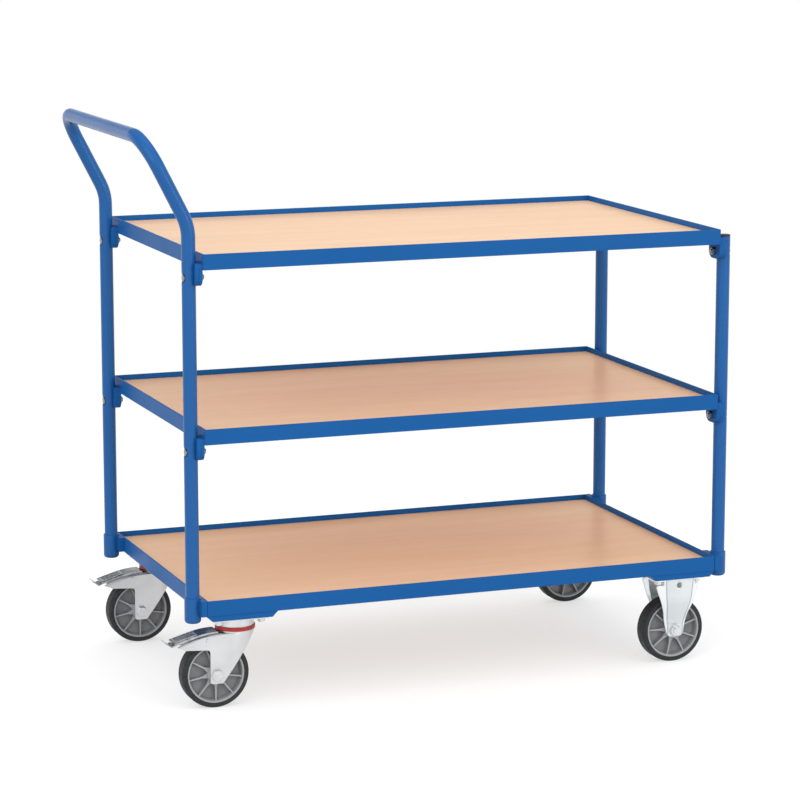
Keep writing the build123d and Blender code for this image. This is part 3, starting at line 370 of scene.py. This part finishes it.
def grey_tyre():
    """Solid grey rubber with a fine moulded skin."""
    skin = dict(roughness=(0.5, 0.72), patches=(200, 4), grain=(1300, 3), depth=0.06 * MM, edge=1.2 * MM)
    return mottled("grey_rubber_tyre", (TYRE_GREY, TYRE_WORN), clouds=(70, 5), skin=skin, specular=0.3)


def brake_rubber():
    """Dark rubber of the brake shoes."""
    skin = dict(roughness=(0.6, 0.8), patches=(300, 3), grain=(1500, 3), depth=0.08 * MM, edge=0.6 * MM)
    return mottled("brake_rubber", (BLACK, BLACK_WORN), clouds=(150, 4), skin=skin)


def red_seal():
    """Red moulded plastic."""
    skin = dict(roughness=(0.28, 0.42), patches=(250, 3), grain=(900, 2), depth=0.04 * MM, edge=0.5 * MM)
    return mottled("red_seal", (RED_DEEP, RED), clouds=(90, 4), skin=skin)


def black_cap():
    """Black polyethylene with a fine grain."""
    skin = dict(roughness=(0.38, 0.55), patches=(300, 3), grain=(1800, 2), depth=0.05 * MM, edge=0.6 * MM)
    return mottled("black_cap", (BLACK, BLACK_WORN), clouds=(120, 4), skin=skin)


# The finish of each of the record's slots
FINISHES = {
    "blue_paint": blue_paint,
    "beech_board": beech_board,
    "zinc_sheet": zinc_sheet,
    "zinc_fastener": zinc_fastener,
    "grey_rim": grey_rim,
    "grey_tyre": grey_tyre,
    "brake_rubber": brake_rubber,
    "red_seal": red_seal,
    "black_cap": black_cap,
}

# Nodes whose finish differs from the rest of their slot
OWN_FINISHES = {
    "fixed_fork_right": folded_sheet,
    "fixed_fork_left": folded_sheet,
    "brake_pedal_right": brake_pedal,
    "brake_pedal_left": brake_pedal,
    "shelf_bolts": shelf_bolt,
    "shelf_nuts": shelf_bolt,
    "push_handle": blue_tube,
    "post_right": blue_tube,
    "post_left": blue_tube,
    "corner_sleeves": blue_tube,
}


def dress():
    """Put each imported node's finish on it, and give back the finish of each slot."""
    slots = {slot: make() for slot, make in FINISHES.items()}
    own = {make: make() for make in dict.fromkeys(OWN_FINISHES.values())}
    for part in frame["record"]["subparts"]:
        name = part["node"]
        material = own[OWN_FINISHES[name]] if name in OWN_FINISHES else slots[part["material_slot"]]
        node = frame["nodes"][name]
        node.data.materials.clear()
        node.data.materials.append(material)
    return slots


def add_object(name, data):
    """A new object in the scene."""
    made = bpy.data.objects.new(name, data)
    bpy.context.scene.collection.objects.link(made)
    return made


def look_along(thing, place, way):
    """Put a lamp or camera at a place, facing one way."""
    thing.location = place
    thing.rotation_euler = way.to_track_quat("-Z", "Y").to_euler()


def add_piece(name, form, material):
    """A new piece on the trolley's frame, from a mesh in the making."""
    bmesh.ops.recalc_face_normals(form, faces=form.faces)
    mesh = bpy.data.meshes.new(name)
    form.to_mesh(mesh)
    form.free()
    mesh.materials.append(material)
    for face in mesh.polygons:
        face.use_smooth = True
    made = add_object(name, mesh)
    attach(made, "frame")
    return made


def tube_axes():
    """The four upright tubes: centre and the way from it to the deck, along X."""
    low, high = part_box("push_handle")
    rear = high[0] - TUBE_RADIUS
    axes = [(rear, low[1] + TUBE_RADIUS, 1), (rear, high[1] - TUBE_RADIUS, 1)]
    for name in ("post_right", "post_left"):
        low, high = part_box(name)
        axes.append(((low[0] + high[0]) / 2, (low[1] + high[1]) / 2, -1))
    return axes


def rounded_off(beside, radius):
    """How far the rounded corner of a tab stands back at a distance beside its middle."""
    past = max(0, beside - (TAB_HALF - radius))
    return radius - sqrt(radius**2 - past**2)


def saddle_sections(low, high):
    """Cuts through one wing of a saddle, each at its distance beside the tube's axis."""
    start = sqrt(SADDLE_SEAT**2 - SADDLE_BACK**2)
    cuts = []
    for step in range(SADDLE_STEPS + 1):
        beside = start + (SADDLE_HALF - start) * step / SADDLE_STEPS
        seat = sqrt(max(0, SADDLE_SEAT**2 - beside**2))
        front = max(SADDLE_REACH, seat)
        foot = low + rounded_off(beside, TAB_TOE_ROUND)
        head = high - rounded_off(beside, TAB_TOP_ROUND)
        corners = ((front, foot), (SADDLE_BACK, foot), (SADDLE_BACK, head), (front, head))
        cuts.append([(towards, beside, z) for towards, z in corners])
    return cuts


def loft(form, rings):
    """Faces between closed rings of points, and over the two ends."""
    rows = [[form.verts.new(point) for point in ring] for ring in rings]
    form.faces.new(rows[0])
    form.faces.new(rows[-1])
    for before, after in zip(rows, rows[1:]):
        for first in range(len(before)):
            second = (first + 1) % len(before)
            form.faces.new((before[first], before[second], after[second], after[first]))


def tab_saddles(material):
    """Hollowed seats between the shelf tabs and the tubes, with the tabs' rounded corners."""
    form = bmesh.new()
    for tabs in ("upper_tabs", "middle_tabs"):
        low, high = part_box(tabs)
        cuts = saddle_sections(low[2], high[2])
        for x, y, inwards in tube_axes():
            for side in (-1, 1):
                loft(form, [[(x + inwards * a, y + side * b, z) for a, b, z in ring] for ring in cuts])
    made = add_piece("tab_saddles", form, material)
    bevel = made.modifiers.new("edges", "BEVEL")
    bevel.width = SADDLE_EDGE
    bevel.segments = SADDLE_EDGE_STEPS
    bevel.limit_method = "ANGLE"
    bevel.angle_limit = radians(SADDLE_EDGE_ANGLE)
    bevel.harden_normals = True


def bead(form, start, end):
    """A rippled run of weld from one point to another."""
    start, end = Vector(start), Vector(end)
    along = (end - start).normalized()
    beside = along.orthogonal().normalized()
    above = along.cross(beside)
    turns = [2 * pi * side / BEAD_SIDES for side in range(BEAD_SIDES)]
    count = int((end - start).length / BEAD_STEP)
    rings = []
    for step in range(count + 1):
        centre = start.lerp(end, step / count)
        taper = min(1, BEAD_TIP + BEAD_SWELL * min(step, count - step) / count)
        ripple = 1 - BEAD_DIP + BEAD_DIP * cos(2 * pi * step * BEAD_STEP / BEAD_RIPPLE)
        radius = BEAD_RADIUS * taper * ripple
        rings.append([centre + radius * (cos(turn) * beside + sin(turn) * above) for turn in turns])
    loft(form, rings)


def bead_pair(form, x, y, beside, low, high):
    """Upright beads on both sides of a tube."""
    for side in (-1, 1):
        place = (x, y + side * beside)
        bead(form, (*place, low), (*place, high))


def welds(material):
    """Beads where the corner sleeves meet their saddles and where the shelf tabs meet the frames."""
    form = bmesh.new()
    low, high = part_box("sleeve_saddles")
    for x, y, inwards in tube_axes():
        edge = low[0] if inwards > 0 else high[0]
        beside = sqrt(SLEEVE_RADIUS**2 - (edge - x)**2)
        bead_pair(form, edge, y, beside, low[2], high[2])
    for tabs, rails in (("upper_tabs", "upper_frame"), ("middle_tabs", "middle_frame")):
        tab_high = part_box(tabs)[1]
        rail_low, rail_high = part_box(rails)
        half = tab_high[1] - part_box("post_left")[1][1] + TUBE_RADIUS
        for x, y, inwards in tube_axes():
            edge = rail_low[0] if inwards > 0 else rail_high[0]
            bead_pair(form, edge, y, half, rail_low[2], tab_high[2])
    add_piece("weld_beads", form, material)


def floor():
    """A pale floor that keeps the soft shadow near the trolley and is plain white further out."""
    mesh = bpy.data.meshes.new("floor")
    corners = [(x * FLOOR_HALF, y * FLOOR_HALF, 0) for x, y in ((-1, -1), (1, -1), (1, 1), (-1, 1))]
    mesh.from_pydata(corners, [], [(0, 1, 2, 3)])
    piece = add_object("floor", mesh)
    finish = Finish("floor", specular=0.0)
    away = finish.add("VectorMath", {0: finish.place()}, operation="LENGTH").outputs["Value"]
    far = finish.spread(away, 0, 1, *SHADOW_REACH)
    seen = finish.seen_rays()
    finish.set(finish.shader, {
        "Base Color": FLOOR_COLOUR,
        "Roughness": FLOOR_ROUGHNESS,
        "Emission Color": WHITE,
        "Emission Strength": finish.maths("MULTIPLY", seen, FLOOR_LIFT),
    })
    white = finish.add("Emission", {"Color": WHITE, "Strength": 1.0}).outputs["Emission"]
    share = finish.maths("MULTIPLY", seen, far)
    both = finish.add("MixShader", {0: share, 1: finish.shader.outputs["BSDF"], 2: white})
    finish.set(finish.tree.nodes["Material Output"], {"Surface": both.outputs["Shader"]})
    mesh.materials.append(finish.material)


def sky():
    """Even light from all round, white where it is seen, with a darker ceiling in reflections."""
    world = bpy.data.worlds.new("studio")
    bpy.context.scene.world = world
    world.use_nodes = True
    nodes = Nodes(world.node_tree)
    path = nodes.add("LightPath").outputs
    way = nodes.add("TexCoord").outputs["Generated"]
    height = nodes.add("SeparateXYZ", {"Vector": way}).outputs["Z"]
    backdrop = nodes.spread(height, 1.0, CEILING, *CEILING_RISE)
    mirrored = nodes.maths("MAXIMUM", path["Is Glossy Ray"], path["Is Transmission Ray"])
    level = nodes.spread(mirrored, SKY_LIGHT, backdrop, start=0, end=1)
    nodes.set(nodes.tree.nodes["Background"], {
        "Color": WHITE,
        "Strength": nodes.maths("MAXIMUM", level, path["Is Camera Ray"]),
    })


def softbox(name, place, width, height, power):
    """A rectangular area light that faces the trolley."""
    data = bpy.data.lights.new(name, "AREA")
    data.shape = "RECTANGLE"
    data.size = width
    data.size_y = height
    data.energy = power
    look_along(add_object(name, data), place, Vector(LAMP_AIM) - Vector(place))


def camera():
    """The photograph's point of view."""
    data = bpy.data.cameras.new("camera")
    data.sensor_width = SENSOR_WIDTH
    data.lens = CAMERA_LENS
    data.clip_end = CAMERA_REACH
    eye = add_object("camera", data)
    yaw, pitch = radians(CAMERA_YAW), radians(CAMERA_PITCH)
    forward = Vector((sin(yaw) * cos(pitch), cos(yaw) * cos(pitch), -sin(pitch)))
    look_along(eye, CAMERA_PLACE, forward)
    bpy.context.scene.camera = eye


finishes = dress()
tab_saddles(finishes["blue_paint"])
welds(finishes["blue_paint"])
floor()
sky()
for lamp, settings in LAMPS.items():
    softbox(lamp, **settings)
camera()
bpy.context.scene.view_settings.view_transform = "Standard"
